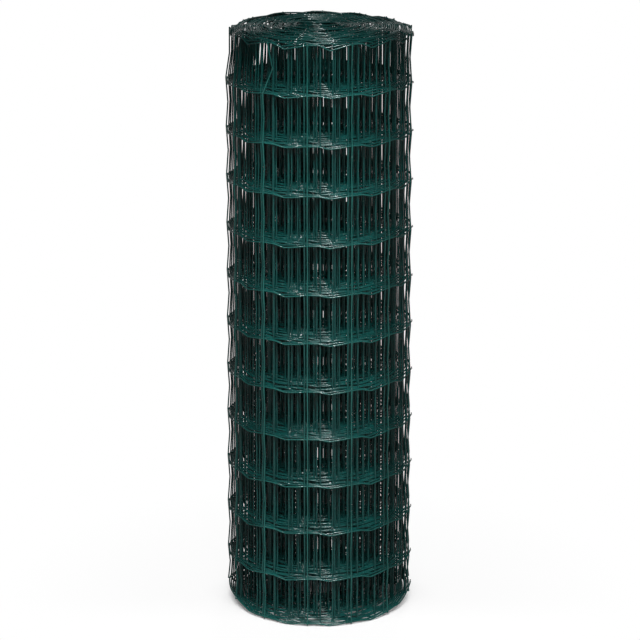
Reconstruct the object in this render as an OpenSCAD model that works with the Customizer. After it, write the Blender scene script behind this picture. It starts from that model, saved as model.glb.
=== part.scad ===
// Roll of coated welded wire fencing, standing on its end.
// The fence is wound from a free edge into an off-centre core, so the roll is a turned solid
// whose wall swells at every strand and whose ends show the wound turns.

/* [Fence] */
// Height of one mesh opening, strand to strand
row_pitch = 76; // [40:1:110]
// Number of openings from the bottom strand to the top strand
rows = 12; // [6:1:20]
// Length of fence wound into the roll
fence_length = 20000; // [5000:100:25000]
// Diameter of the coated wire
wire_d = 2.4; // [1.6:0.1:3.2]
// How far the upright wires stand past the edge strands
upright_end = 1.5; // [1:0.5:10]

/* [Roll] */
// Diameter of the roll at its foot, over the bottom strand
foot_d = 289; // [275:1:360]
// Diameter of the roll at its top, over the top strand
top_d = 283; // [275:1:360]
// Diameter of the open bore in the core
bore_d = 62; // [40:1:90]
// How far the core sits off the roll's axis, away from the free edge
core_offset = 6; // [0:0.5:12]
// How far the wall draws in between two strands
neck_depth = 3; // [1:0.5:6]
// Height of the swelling round one strand
swell_height = 27; // [16:1:38]
// Depth of the gaps between the turns at the ends
gap_depth = 8; // [4:1:30]

/* [Hidden] */
$fn = 96;

roll_height = rows * row_pitch + 2 * upright_end;
swell_r = (pow(swell_height / 2, 2) + pow(neck_depth, 2)) / (2 * neck_depth);
end_r = min(foot_d, top_d) / 2;

// The turns fill the wall between the bore and the outside. There are as many as the fence's
// length gives, and no more than leave the least gap between two turns.
least_gap = 0.3;
mean_r = (end_r + bore_d / 2) / 2;
winding_depth = end_r - bore_d / 2 - wire_d;
turns = min(round(fence_length / (2 * PI * mean_r)), floor(winding_depth / (wire_d + least_gap)));
turn_pitch = winding_depth / turns;

// The wound turns are half circles about two rows of centres. Each half turn is tangent to the
// next, and the uneven steps carry the centre from the roll's axis to the core. The steps are
// whole hundredths of a millimetre, so that the half turns meet exactly.
core_step = core_offset / turns;
free_side_step = round(50 * (turn_pitch + core_step)) / 100;
far_side_step = round(50 * (turn_pitch - core_step)) / 100;
axis_shift = free_side_step / 2;

function strand_z(i) = upright_end + i * row_pitch;
function roll_r(z) = (foot_d + (top_d - foot_d) * z / roll_height) / 2;
function shrink(j) = ceil(j / 2) * free_side_step + floor(j / 2) * far_side_step;
function centre_x(j) = floor(j / 2) * far_side_step - ceil(j / 2) * free_side_step;

// Section of the turned wall, drawn in by the given amount
module wall_section(drawn_in) {
    intersection() {
        square([max(foot_d, top_d), roll_height]);
        union() {
            polygon([
                [0, 0],
                [roll_r(0) - neck_depth - drawn_in, 0],
                [roll_r(roll_height) - neck_depth - drawn_in, roll_height],
                [0, roll_height]
            ]);
            for (i = [0 : rows])
                translate([roll_r(strand_z(i)) - swell_r - drawn_in, strand_z(i)])
                    circle(r = swell_r);
        }
    }
}

// One half turn of the roll's outer wall: front halves are even, back halves are odd
module half_wall(j) {
    translate([centre_x(j), 0, 0])
        rotate([0, 0, j % 2 == 0 ? 180 : 0])
            rotate_extrude(angle = 180) wall_section(shrink(j));
}

// The open space between half turn j and the same half one turn further in
module turn_gap(j) {
    intersection() {
        translate([-end_r, j % 2 == 0 ? -2 * end_r : 0]) square(2 * end_r);
        difference() {
            translate([centre_x(j), 0]) circle(r = end_r - wire_d - shrink(j));
            translate([centre_x(j + 2), 0]) circle(r = end_r - shrink(j + 2));
        }
    }
}

module end_gaps() {
    linear_extrude(height = 2 * gap_depth, center = true)
        for (j = [0 : 2 * turns - 2]) turn_gap(j);
}

module mesh_roll() {
    color("#0f4a3c")
    translate([0, axis_shift, 0])
    difference() {
        union() {
            half_wall(0);
            half_wall(1);
        }
        translate([-core_offset, 0, -1])
            cylinder(d = bore_d, h = roll_height + 2);
        end_gaps();
        translate([0, 0, roll_height]) end_gaps();
    }
}

mesh_roll();
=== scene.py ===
import math

import bpy
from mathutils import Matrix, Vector


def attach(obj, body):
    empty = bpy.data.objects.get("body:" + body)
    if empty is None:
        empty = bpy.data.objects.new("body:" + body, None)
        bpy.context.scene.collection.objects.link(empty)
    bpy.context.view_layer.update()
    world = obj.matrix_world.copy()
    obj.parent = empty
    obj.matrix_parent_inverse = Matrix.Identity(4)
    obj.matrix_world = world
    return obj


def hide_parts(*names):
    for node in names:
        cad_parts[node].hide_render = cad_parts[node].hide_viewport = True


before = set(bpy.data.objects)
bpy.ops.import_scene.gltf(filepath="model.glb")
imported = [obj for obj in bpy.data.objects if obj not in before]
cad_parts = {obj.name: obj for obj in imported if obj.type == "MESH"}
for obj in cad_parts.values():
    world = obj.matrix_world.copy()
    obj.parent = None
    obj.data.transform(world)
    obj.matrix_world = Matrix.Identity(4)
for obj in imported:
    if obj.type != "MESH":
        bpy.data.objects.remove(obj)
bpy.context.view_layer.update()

# Sizes of the fence, in metres
ROW_PITCH = 0.076
ROWS = 12
EDGE = 0.0015
HEIGHT = ROWS * ROW_PITCH + 2 * EDGE
WIRE = 0.0024
STEEL = 0.0018
CELL = 0.0672
CRIMP = 0.0042
TOP_CRIMP = 0.008
STRAND_DRIFT = 0.0009
CORE_SHOWN = 0.0006

# Crimps: where in an opening one starts and is lowest, how far they differ in depth, and the number of
# uprights over which they ease to half their depth
CRIMP_START = 0.25
CRIMP_LOW = 0.5
CRIMP_SPREAD = 0.2
SLACK_UPRIGHTS = 40

# Welds: how far out an upright lies on its strands, and half the size of a bead, in wire diameters
UPRIGHT_SEAT = 0.9
BEAD_THICK = 0.66
BEAD_WIDE = 0.8

# Bends of the uprights, and the lean of the one bent in the top row, in parts of an opening.
# The lean grows with height and then drops along a line from a start.
UPRIGHT_BEND = 0.008
BENT_UPRIGHT = 4
LEAN_GROWTH = 0.44
LEAN_START = 0.333
LEAN_DROP = 0.22

# Rows of strands in the lower piece and in the middle one
BAND_ROWS = 4

# Sizes of the winding
OUTER_R = 0.1424
TURNS = 37
TURN_PITCH = 0.003
FREE_ANGLE = 1.56
TAPER = 0.021
NECK = 0.003
TOP_PINCH = 0.006
FOOT_RISE = 0.019
FOOT_WAVE = 0.0028
CORE_OFFSET = 0.006
CORE_LIFT = 0.004
BACK_SLUMP = 0.009
SEED = 7

# How the turns differ: out of round, drawn in and raised on the outer ones, and shifted in height further in
OVAL = 0.0005
OVAL_PACE = 1.3
OUTER_TURNS = 6
LEVEL_TURNS = 5
NEST_TURNS = 4.3
NEST_LIFT = 0.0013
SHIFT_LIFT = 0.0018
SHIFT_PACE = 1.7

# Where the uprights of the outer turns fall between those of the outermost, in parts of an opening
SEEN_FALLS = (0.0, 0.93, 0.33, 0.49, 0.58, 0.74, 0.15, 0.25, 0.64, 0.09, 0.84)
FRONT_UPRIGHT = 3
FRONT_TURN = 0.2685

# Elsewhere the fall goes by a rule for each side: a start, and a step from turn to turn.
# The left and the right have one only on some turns.
FRONT_RULE = (0.145, 0.851)
LEFT_RULE = (0.015, 0.01)
BACK_RULE = (0.256, 0.778)
RIGHT_RULE = (0.681, -0.029)
SIDE_TURNS = range(1, 18)


def uprights_in(start, end):
    """Uprights that pass between two points of the winding, both in turns, at the plain spacing."""
    return math.tau * (OUTER_R - TURN_PITCH * (start + end) / 2) * (end - start) / CELL


def fall_of(turn, side):
    """Fall of the uprights at one pass of the front, the left, the back or the right, where it is set."""
    if side == 0 and turn < len(SEEN_FALLS):
        return SEEN_FALLS[turn]
    if side in (1, 3) and turn not in SIDE_TURNS:
        return None
    start, step = (FRONT_RULE, LEFT_RULE, BACK_RULE, RIGHT_RULE)[side]
    return (start + step * turn) % 1


def winding_marks():
    """Turns run and uprights passed at the free end, each pass whose fall is set, and the inner end."""
    marks = [(0.0, FRONT_UPRIGHT - uprights_in(0.0, FRONT_TURN)), (FRONT_TURN, FRONT_UPRIGHT)]
    for quarter in range(1, 4 * (TURNS - 1) + 1):
        fall = fall_of(*divmod(quarter, 4))
        if fall is not None:
            turn, passed = marks[-1]
            here = FRONT_TURN + quarter / 4
            due = passed + uprights_in(turn, here)
            marks.append((here, round(due - fall) + fall))
    turn, passed = marks[-1]
    marks.append((TURNS, passed + uprights_in(turn, TURNS)))
    return marks


MARKS = winding_marks()
FIRST_PASSED = MARKS[0][1]
LAST_PASSED = MARKS[-1][1]
UPRIGHTS = int(LAST_PASSED) + 1

FENCE_SIZES = {
    "Wire diameter": WIRE,
    "Row pitch": ROW_PITCH,
    "Outer radius": OUTER_R,
    "Turn pitch": TURN_PITCH,
    "Crimp depth": CRIMP,
}


class Value:
    """A socket. Arithmetic on it adds Math nodes to its tree."""

    def __init__(self, socket):
        self.socket = socket

    @staticmethod
    def node(tree, kind, inputs=None, out=0, **settings):
        made = tree.nodes.new(kind)
        for name, setting in settings.items():
            setattr(made, name, setting)
        for name, given in (inputs or {}).items():
            if isinstance(given, Value):
                tree.links.new(given.socket, made.inputs[name])
            else:
                made.inputs[name].default_value = given
        return Value(made.outputs[out])

    def of(self, out):
        return Value(self.socket.node.outputs[out])

    def math(self, operation, *others):
        inputs = {i: v for i, v in enumerate((self,) + others)}
        return Value.node(self.socket.id_data, "ShaderNodeMath", inputs, operation=operation)

    def turned(self, operation, first):
        return Value.node(self.socket.id_data, "ShaderNodeMath", {0: first, 1: self}, operation=operation)

    def __add__(self, other):
        return self.math("ADD", other)

    def __radd__(self, other):
        return self.turned("ADD", other)

    def __sub__(self, other):
        return self.math("SUBTRACT", other)

    def __rsub__(self, other):
        return self.turned("SUBTRACT", other)

    def __mul__(self, other):
        return self.math("MULTIPLY", other)

    def __rmul__(self, other):
        return self.turned("MULTIPLY", other)

    def __truediv__(self, other):
        return self.math("DIVIDE", other)

    def __rtruediv__(self, other):
        return self.turned("DIVIDE", other)

    def __pow__(self, other):
        return self.math("POWER", other)

    def __gt__(self, other):
        return self.math("GREATER_THAN", other)


def vector(tree, x, y, z):
    return Value.node(tree, "ShaderNodeCombineXYZ", {0: x, 1: y, 2: z})


def chance(tree, a, b, salt):
    """A number from -1 to 1 that belongs to one cell of the fence."""
    place = vector(tree, a, b, SEED + salt)
    return Value.node(tree, "ShaderNodeTexWhiteNoise", {0: place}, noise_dimensions="3D") * 2 - 1


def wander(tree, x, y, z):
    """A slow drift from about -1 to 1."""
    place = vector(tree, x, y, z)
    drift = Value.node(tree, "ShaderNodeTexNoise", {"Vector": place, "Scale": 1.0, "Detail": 1.0})
    return (drift - 0.5) * 4


# Laying the flat fence on the winding

def turns_run(tree, passed):
    """Turns of the winding run when so many uprights have been passed."""
    share = (passed - FIRST_PASSED) / (LAST_PASSED - FIRST_PASSED)
    eased = Value.node(tree, "ShaderNodeFloatCurve", {"Value": share})
    mapping = eased.socket.node.mapping
    points = mapping.curves[0].points
    for turn, mark in MARKS[1:-1]:
        points.new((mark - FIRST_PASSED) / (LAST_PASSED - FIRST_PASSED), turn / TURNS)
    for point in points:
        point.handle_type = "VECTOR"
    mapping.update()
    return eased * TURNS


def wound(tree, size, passed, height, out):
    """Place and facing, once wound, of the fence's point so many uprights along, so high and so far out."""
    pitch = size["Turn pitch"]
    turn = turns_run(tree, passed)
    turn_r = size["Outer radius"] - turn * pitch
    level = height / HEIGHT
    angle = FREE_ANGLE - turn * math.tau
    across = angle.math("SINE")
    back = angle.math("COSINE") * -1
    row = (height - EDGE) / size["Row pitch"]
    outermost = (1 - turn / OUTER_TURNS).math("MAXIMUM", 0)
    neck = (row * math.pi).math("SINE") ** 2 * outermost * NECK
    oval = wander(tree, across * OVAL_PACE + SEED, back * OVAL_PACE, height * 2) * OVAL
    pinch = (row - (ROWS - 1)).math("MAXIMUM", 0) * (across * -1).math("MAXIMUM", 0) ** 3 * TOP_PINCH
    rise = (1 - row).math("MAXIMUM", 0) * across ** 6 * outermost * FOOT_RISE
    r = (turn_r + out) * (1 + TAPER * (0.5 - level)) + oval - neck - pinch
    x = r * across - TURN_PITCH / 4 - turn * (CORE_OFFSET / TURNS)
    y = r * back + TURN_PITCH / 4
    inside = (turn / LEVEL_TURNS).math("MINIMUM", 1)
    nest = ((turn * (math.tau / NEST_TURNS)).math("SINE") + 1) * NEST_LIFT
    slip = (wander(tree, turn * SHIFT_PACE, SEED + 5.0, 0.0) + 1).math("MAXIMUM", 0) * SHIFT_LIFT
    shift = inside * (slip + nest)
    slump = level * (back + 1) * (BACK_SLUMP / 2)
    z = height + turn * (CORE_LIFT / TURNS) + shift - slump + rise
    return vector(tree, x, y, z), angle


def strand_height(tree, size, passed, row):
    """Height of a strand: level at the welds, and dipped in each opening by its crimp or the foot's wave."""
    place = passed * -1
    u = place.math("FRACT")
    opening = place.math("FLOOR")
    fall = ((u - CRIMP_START) / (CRIMP_LOW - CRIMP_START)).math("MAXIMUM", 0)
    dip = fall.math("MINIMUM", (1 - u) / (1 - CRIMP_LOW))
    slack = (1 - passed / SLACK_UPRIGHTS).math("MAXIMUM", 0)
    crimp = size["Crimp depth"] * (row > 0.5) * (0.5 + slack * 0.5)
    depth = crimp + (row > ROWS - 0.5) * slack * (TOP_CRIMP - CRIMP)
    uneven = 1 + chance(tree, opening, row, 1) * CRIMP_SPREAD
    drift = wander(tree, passed * 0.2, row * 3.7, SEED + 1.0) * STRAND_DRIFT * (row > 0.5)
    wave = (1 - row).math("MAXIMUM", 0) * (1 - dip) * FOOT_WAVE
    return EDGE + row * size["Row pitch"] - dip * depth * uneven + drift + wave


# Growing the pieces from node trees

def fence_tree(name, extra):
    tree = bpy.data.node_groups.new(name, "GeometryNodeTree")
    tree.interface.new_socket("Geometry", in_out="OUTPUT", socket_type="NodeSocketGeometry")
    for label, given in {**FENCE_SIZES, **extra}.items():
        kind = "NodeSocketInt" if isinstance(given, int) else "NodeSocketFloat"
        tree.interface.new_socket(label, in_out="INPUT", socket_type=kind)
    tree.interface.new_socket("Finish", in_out="INPUT", socket_type="NodeSocketMaterial")
    entry = tree.nodes.new("NodeGroupInput")
    size = {s.name: Value(s) for s in entry.outputs if s.name}
    return tree, size


def close_tree(tree, size, shape):
    smooth = Value.node(tree, "GeometryNodeSetShadeSmooth", {"Geometry": shape})
    real = Value.node(tree, "GeometryNodeRealizeInstances", {"Geometry": smooth})
    done = Value.node(tree, "GeometryNodeSetMaterial", {"Geometry": real, "Material": size["Finish"]})
    leave = tree.nodes.new("NodeGroupOutput")
    tree.links.new(done.socket, leave.inputs[0])


def grow(name, tree, extra, finish):
    """Runs a tree with its sizes and keeps the result as a plain mesh object."""
    seed_mesh = bpy.data.meshes.new(name + "_seed")
    seed = bpy.data.objects.new(name + "_seed", seed_mesh)
    bpy.context.scene.collection.objects.link(seed)
    modifier = seed.modifiers.new("grow", "NODES")
    modifier.node_group = tree
    given = {**FENCE_SIZES, **extra, "Finish": finish}
    for item in tree.interface.items_tree:
        if item.in_out == "INPUT":
            modifier[item.identifier] = given[item.name]
    depsgraph = bpy.context.evaluated_depsgraph_get()
    mesh = bpy.data.meshes.new_from_object(seed.evaluated_get(depsgraph), depsgraph=depsgraph)
    bpy.data.objects.remove(seed)
    piece = bpy.data.objects.new(name, mesh)
    bpy.context.scene.collection.objects.link(piece)
    return piece


def wire_from(tree, size, path):
    ring = Value.node(
        tree,
        "GeometryNodeCurvePrimitiveCircle",
        {"Resolution": 6, "Radius": size["Wire diameter"] / 2},
    )
    return Value.node(
        tree,
        "GeometryNodeCurveToMesh",
        {"Curve": path, "Profile Curve": ring, "Fill Caps": True},
    )


def line_copies(tree, points, copies):
    """Copies of one line of points, with the point's and the copy's number. The points are moved later."""
    line = Value.node(tree, "GeometryNodeMeshLine", {"Count": points, "Offset": (0.001, 0.0, 0.0)})
    curve = Value.node(tree, "GeometryNodeMeshToCurve", {"Mesh": line})
    many = Value.node(
        tree,
        "GeometryNodeDuplicateElements",
        {"Geometry": curve, "Amount": copies},
        domain="SPLINE",
    )
    number = Value.node(tree, "GeometryNodeSplineParameter", out="Index")
    return many, number, many.of("Duplicate Index")


def strand_tree():
    steps = 8
    tree, size = fence_tree("wound_strands", {"First row": 0, "Rows": 1})
    first = math.ceil(FIRST_PASSED * steps)
    last = math.floor(LAST_PASSED * steps)
    lines, number, copy = line_copies(tree, last - first + 1, size["Rows"])
    passed = (number + first) / steps
    row = size["First row"] + copy
    height = strand_height(tree, size, passed, row)
    place, _ = wound(tree, size, passed, height, 0.0)
    moved = Value.node(tree, "GeometryNodeSetPosition", {"Geometry": lines, "Position": place})
    close_tree(tree, size, wire_from(tree, size, moved))
    return tree


def upright_place(tree, size, number, height):
    """Where along the fence an upright stands at a height, with its small bends."""
    rise = (height - EDGE) / size["Row pitch"]
    row = rise.math("FLOOR")
    bow = (rise.math("FRACT") * math.pi).math("SINE")
    bend = chance(tree, number, row, 2) ** 3 * UPRIGHT_BEND
    kinked = number.math("COMPARE", BENT_UPRIGHT, 0.5)
    up = (rise - (ROWS - 1)).math("MAXIMUM", 0)
    lean = kinked * (up * LEAN_GROWTH).math("MINIMUM", LEAN_START - up * LEAN_DROP)
    return number + bow * bend - lean


def upright_tree():
    """Uprights from the foot to the top. Their lower ends rise with the lowest strand's wave."""
    steps = 4
    tree, size = fence_tree("upright_wires", {"Uprights": UPRIGHTS})
    lines, number, copy = line_copies(tree, ROWS * steps + 3, size["Uprights"])
    rise = EDGE + (number - 1) * (ROW_PITCH / steps)
    level = rise.math("MAXIMUM", 0).math("MINIMUM", HEIGHT)
    height = level + (1 - level / ROW_PITCH).math("MAXIMUM", 0) * FOOT_WAVE
    passed = upright_place(tree, size, copy, height)
    place, _ = wound(tree, size, passed, height, size["Wire diameter"] * UPRIGHT_SEAT)
    moved = Value.node(tree, "GeometryNodeSetPosition", {"Geometry": lines, "Position": place})
    close_tree(tree, size, wire_from(tree, size, moved))
    return tree


def weld_tree():
    tree, size = fence_tree("weld_beads", {"Uprights": UPRIGHTS})
    points = Value.node(tree, "GeometryNodePoints", {"Count": size["Uprights"] * (ROWS + 1)})
    index = Value.node(tree, "GeometryNodeInputIndex")
    number = (index / (ROWS + 1)).math("FLOOR")
    row = index - number * (ROWS + 1)
    height = strand_height(tree, size, number, row)
    place, angle = wound(tree, size, number, height, size["Wire diameter"] * (UPRIGHT_SEAT / 2))
    moved = Value.node(tree, "GeometryNodeSetPosition", {"Geometry": points, "Position": place})
    bead = Value.node(tree, "GeometryNodeMeshUVSphere", {"Segments": 6, "Rings": 4, "Radius": 1.0})
    wire = size["Wire diameter"]
    placed = Value.node(
        tree,
        "GeometryNodeInstanceOnPoints",
        {
            "Points": moved,
            "Instance": bead,
            "Rotation": vector(tree, 0.0, 0.0, angle),
            "Scale": vector(tree, wire * BEAD_THICK, wire * BEAD_WIDE, wire * BEAD_THICK),
        },
    )
    close_tree(tree, size, placed)
    return tree


def cut_end_tree():
    """Bare steel cores at the cut ends of the uprights and of the strands."""
    tree, size = fence_tree("cut_ends", {"Uprights": UPRIGHTS, "Core diameter": STEEL})
    index = Value.node(tree, "GeometryNodeInputIndex")
    core = Value.node(
        tree,
        "GeometryNodeMeshCylinder",
        {"Vertices": 8, "Radius": size["Core diameter"] / 2, "Depth": CORE_SHOWN},
    )
    upright_ends = Value.node(tree, "GeometryNodePoints", {"Count": size["Uprights"] * 2})
    number = (index / 2).math("FLOOR")
    at_top = index - number * 2
    height = FOOT_WAVE + at_top * (HEIGHT - FOOT_WAVE)
    passed = upright_place(tree, size, number, height)
    place, _ = wound(tree, size, passed, height, size["Wire diameter"] * UPRIGHT_SEAT)
    moved = Value.node(tree, "GeometryNodeSetPosition", {"Geometry": upright_ends, "Position": place})
    dots = Value.node(tree, "GeometryNodeInstanceOnPoints", {"Points": moved, "Instance": core})

    strand_ends = Value.node(tree, "GeometryNodePoints", {"Count": (ROWS + 1) * 2})
    row = (index / 2).math("FLOOR")
    far = index - row * 2
    end_passed = FIRST_PASSED + far * (LAST_PASSED - FIRST_PASSED)
    end_place, angle = wound(tree, size, end_passed, strand_height(tree, size, end_passed, row), 0.0)
    end_moved = Value.node(
        tree,
        "GeometryNodeSetPosition",
        {"Geometry": strand_ends, "Position": end_place},
    )
    end_dots = Value.node(
        tree,
        "GeometryNodeInstanceOnPoints",
        {"Points": end_moved, "Instance": core, "Rotation": vector(tree, 0.0, math.pi / 2, angle)},
    )
    both = tree.nodes.new("GeometryNodeJoinGeometry")
    tree.links.new(dots.socket, both.inputs[0])
    tree.links.new(end_dots.socket, both.inputs[0])
    close_tree(tree, size, Value(both.outputs[0]))
    return tree


# Finishes

def finish_tree(name):
    material = bpy.data.materials.new(name)
    material.use_nodes = True
    tree = material.node_tree
    shader = tree.nodes["Principled BSDF"]
    coords = Value.node(tree, "ShaderNodeTexCoord", out="Object")
    return material, tree, shader, coords


def noise(tree, coords, scale, detail=2.0, rough=0.5):
    return Value.node(
        tree,
        "ShaderNodeTexNoise",
        {"Vector": coords, "Scale": scale, "Detail": detail, "Roughness": rough},
    )


def spread(value, low, high, to_low=0.0, to_high=1.0):
    return Value.node(
        value.socket.id_data,
        "ShaderNodeMapRange",
        {"Value": value, "From Min": low, "From Max": high, "To Min": to_low, "To Max": to_high},
    )


def blend_colour(factor, first, second):
    return Value.node(
        factor.socket.id_data,
        "ShaderNodeMix",
        {0: factor, 6: first, 7: second},
        out=2,
        data_type="RGBA",
    )


# Radii over which the coat goes from the painted shade of the inner turns to the painted light of the outer
# turns
PAINTED_LIGHT_FROM_R = 0.1395
PAINTED_LIGHT_FULL_R = 0.1435


def green_coat():
    """Satin plastic coat: deep green and cloudy, scuffed, dusty on top, with painted light making the outer
    turns paler and painted shade making the inner turns darker.
    """
    material, tree, shader, coords = finish_tree("green_coat")
    place = Value.node(tree, "ShaderNodeSeparateXYZ", {0: coords})
    taper = (place.of(2) - HEIGHT / 2) * TAPER * OUTER_R
    from_axis = (place ** 2 + place.of(1) ** 2).math("SQRT") + taper
    painted_light_share = spread(from_axis, PAINTED_LIGHT_FROM_R, PAINTED_LIGHT_FULL_R)
    cloud = spread(noise(tree, coords, 14.0, 3.0), 0.35, 0.65)
    fleck = spread(noise(tree, coords, 420.0, 2.0), 0.42, 0.62)
    scuff = spread(noise(tree, coords, 95.0, 4.0, 0.65), 0.62, 0.72)
    facing = Value.node(tree, "ShaderNodeNewGeometry", out="Normal")
    upward = Value.node(tree, "ShaderNodeSeparateXYZ", {0: facing}, out=2)
    dust = spread(upward, 0.35, 0.95) * spread(noise(tree, coords, 60.0, 3.0), 0.40, 0.70)
    # Painted shade and light: the inner turns get a darker green and the outer turns a paler one, in place
    # of shade deep in the roll and light on its outside
    painted_shade_green = blend_colour(cloud, (0.003, 0.052, 0.048, 1.0), (0.005, 0.072, 0.066, 1.0))
    painted_light_green = blend_colour(cloud, (0.010, 0.110, 0.095, 1.0), (0.016, 0.142, 0.124, 1.0))
    green = blend_colour(painted_light_share, painted_shade_green, painted_light_green)
    flecked = blend_colour(fleck * 0.25, green, (0.012, 0.120, 0.104, 1.0))
    scuffed = blend_colour(scuff * 0.2, flecked, (0.080, 0.200, 0.175, 1.0))
    dusty = blend_colour(dust * 0.04, scuffed, (0.300, 0.360, 0.340, 1.0))
    tree.links.new(dusty.socket, shader.inputs["Base Color"])
    rough = 0.18 + cloud * 0.06 + scuff * 0.14 + dust * 0.08
    tree.links.new(rough.socket, shader.inputs["Roughness"])
    ripple = noise(tree, coords, 900.0, 2.0) + noise(tree, coords, 240.0, 2.0) * 1.5
    bump = Value.node(tree, "ShaderNodeBump", {"Height": ripple, "Strength": 0.03, "Distance": 0.0004})
    tree.links.new(bump.socket, shader.inputs["Normal"])
    shader.inputs["IOR"].default_value = 1.5
    shader.inputs["Coat Weight"].default_value = 0.5
    shader.inputs["Coat Roughness"].default_value = 0.1
    return material


def cut_steel():
    """Sheared steel: dull grey with a brighter smear and specks of rust."""
    material, tree, shader, coords = finish_tree("cut_steel")
    smear = spread(noise(tree, coords, 700.0, 3.0), 0.35, 0.65)
    rust = spread(noise(tree, coords, 130.0, 3.0), 0.60, 0.70)
    grey = blend_colour(smear, (0.16, 0.165, 0.17, 1.0), (0.34, 0.345, 0.35, 1.0))
    worn = blend_colour(rust * 0.6, grey, (0.22, 0.12, 0.07, 1.0))
    tree.links.new(worn.socket, shader.inputs["Base Color"])
    tree.links.new((0.55 + rust * 0.25).socket, shader.inputs["Roughness"])
    tree.links.new((0.8 - rust * 0.6).socket, shader.inputs["Metallic"])
    return material


COAT = green_coat()
CUT = cut_steel()

# The pieces of the roll

STRANDS = strand_tree()
PIECES = [
    grow("lower_strands", STRANDS, {"First row": 0, "Rows": BAND_ROWS}, COAT),
    grow("middle_strands", STRANDS, {"First row": BAND_ROWS, "Rows": BAND_ROWS}, COAT),
    grow("upper_strands", STRANDS, {"First row": 2 * BAND_ROWS, "Rows": ROWS + 1 - 2 * BAND_ROWS}, COAT),
    grow("upright_wires", upright_tree(), {"Uprights": UPRIGHTS}, COAT),
    grow("weld_beads", weld_tree(), {"Uprights": UPRIGHTS}, COAT),
    grow("cut_ends", cut_end_tree(), {"Uprights": UPRIGHTS, "Core diameter": STEEL}, CUT),
]
for piece in PIECES:
    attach(piece, "root")
    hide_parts("mesh_roll")


# Floor, light and camera

# The reach and limits of the floor's shade, and how its glow grows with the distance from the roll
SHADE_REACH = 0.2
SHADE_DARK = 0.2
SHADE_CLEAR = 0.65
GLOW_NEAR = 0.14
GLOW_FAR = 0.5
GLOW_LEAST = 0.93

# The backdrop in mirrored rays, and the light of the sky
BEHIND = 0.85
MIRRORED = 0.2
SKY = 0.03

# The nets: the share of light that passes, and the place of the side ones
TOP_PASSING = 0.34
SIDE_PASSING = 0.22
NET_Y = -0.25
NET_LOW = 0.26
NET_HIGH = 1.19


def backdrop(tree):
    """Share of the white backdrop that a ray shows: all if direct, little if mirrored to behind the roll."""
    path = Value.node(tree, "ShaderNodeLightPath", out="Is Camera Ray")
    direct = path.math("MAXIMUM", path.of("Is Transmission Ray"))
    incoming = Value.node(tree, "ShaderNodeNewGeometry", out="Incoming")
    behind = Value.node(tree, "ShaderNodeSeparateXYZ", {0: incoming}, out=1) * -1 > BEHIND
    return direct.math("MAXIMUM", path.of("Is Glossy Ray") * behind * MIRRORED)


def white_floor():
    mesh = bpy.data.meshes.new("floor")
    reach = 8.0
    corners = [(-reach, -reach, 0), (reach, -reach, 0), (reach, reach, 0), (-reach, reach, 0)]
    mesh.from_pydata(corners, [], [(0, 1, 2, 3)])
    floor = bpy.data.objects.new("floor", mesh)
    bpy.context.scene.collection.objects.link(floor)
    material, tree, shader, coords = finish_tree("pale_floor")
    shader.inputs["Base Color"].default_value = (0.2, 0.2, 0.2, 1.0)
    shader.inputs["Roughness"].default_value = 0.9
    card = Value.node(tree, "ShaderNodeBsdfDiffuse", {"Color": (0.9, 0.9, 0.9, 1.0)})
    white = Value.node(tree, "ShaderNodeEmission", {"Color": (1.0, 1.0, 1.0, 1.0), "Strength": 1.0})
    clear = Value.node(tree, "ShaderNodeAmbientOcclusion", {"Distance": SHADE_REACH}, out="AO", samples=8)
    place = Value.node(tree, "ShaderNodeSeparateXYZ", {0: coords})
    away = (place ** 2 + place.of(1) ** 2).math("SQRT")
    glow = spread(clear, SHADE_DARK, SHADE_CLEAR) * spread(away, GLOW_NEAR, GLOW_FAR, GLOW_LEAST, 1.0)
    shaded = Value.node(tree, "ShaderNodeMixShader", {0: glow, 1: card, 2: white})
    lit = Value(shader.outputs[0])
    shown = Value.node(tree, "ShaderNodeMixShader", {0: backdrop(tree), 1: lit, 2: shaded})
    tree.links.new(shown.socket, tree.nodes["Material Output"].inputs["Surface"])
    mesh.materials.append(material)


def scrim(name, corners, passing):
    """A net between the lamps and part of the roll, which the camera and the reflections don't see."""
    mesh = bpy.data.meshes.new(name)
    mesh.from_pydata(corners, [], [(0, 1, 2, 3)])
    holder = bpy.data.objects.new(name, mesh)
    bpy.context.scene.collection.objects.link(holder)
    material, tree, _, _ = finish_tree(name)
    net = Value.node(tree, "ShaderNodeBsdfTransparent", {"Color": (passing, passing, passing, 1.0)})
    tree.links.new(net.socket, tree.nodes["Material Output"].inputs["Surface"])
    mesh.materials.append(material)
    holder.visible_camera = False
    holder.visible_glossy = False


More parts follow.
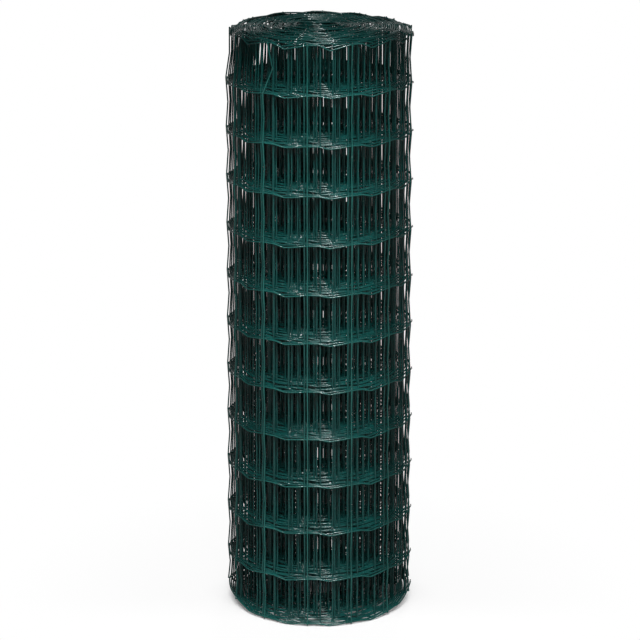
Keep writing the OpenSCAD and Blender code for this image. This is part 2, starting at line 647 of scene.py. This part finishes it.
def soft_lamp(name, place, size, power, aim):
    lamp = bpy.data.lights.new(name, "AREA")
    lamp.size = size
    lamp.energy = power
    holder = bpy.data.objects.new(name, lamp)
    holder.location = place
    holder.rotation_euler = (Vector(aim) - Vector(place)).to_track_quat("-Z", "Y").to_euler()
    bpy.context.scene.collection.objects.link(holder)
    return holder


def studio_sky():
    world = bpy.data.worlds.new("studio")
    bpy.context.scene.world = world
    world.use_nodes = True
    tree = world.node_tree
    sky = tree.nodes["Background"]
    sky.inputs["Color"].default_value = (1.0, 1.0, 1.0, 1.0)
    tree.links.new((SKY + backdrop(tree) * (1 - SKY)).socket, sky.inputs["Strength"])


white_floor()
studio_sky()
MIDDLE = (0.0, 0.0, HEIGHT / 2)
soft_lamp("front", (0.25, -2.82, 4.08), 1.6, 80.0, MIDDLE)
soft_lamp("fill", (0.0, -2.82, 4.08), 1.0, 205.0, MIDDLE).visible_glossy = False
soft_lamp("left", (-1.90, -2.43, 3.88), 0.45, 90.0, MIDDLE).visible_diffuse = False
soft_lamp("right", (0.95, -2.93, 3.88), 0.45, 90.0, MIDDLE).visible_diffuse = False
soft_lamp("rear", (0.60, 4.10, 2.40), 1.2, 130.0, MIDDLE).visible_glossy = False
scrim("top_net", [(-0.4, -0.37, 1.2), (0.4, -0.37, 1.2), (0.4, 0.10, 1.2), (-0.4, 0.10, 1.2)], TOP_PASSING)
for name, inner, outer in (("left_net", -0.10, -0.6), ("right_net", 0.10, 0.6)):
    low = [(inner, NET_Y, NET_LOW), (outer, NET_Y, NET_LOW)]
    high = [(outer, NET_Y, NET_HIGH), (inner, NET_Y, NET_HIGH)]
    scrim(name, low + high, SIDE_PASSING)

LOOKING_DOWN = 0.2991
camera = bpy.data.cameras.new("camera")
camera.sensor_width = 36.0
camera.lens = 173.6
eye = bpy.data.objects.new("camera", camera)
eye.location = (0.0, -4.56, 1.858)
eye.rotation_euler = (math.pi / 2 - LOOKING_DOWN, 0.0, 0.0)
bpy.context.scene.collection.objects.link(eye)
bpy.context.scene.camera = eye
bpy.context.scene.view_settings.view_transform = "Standard"
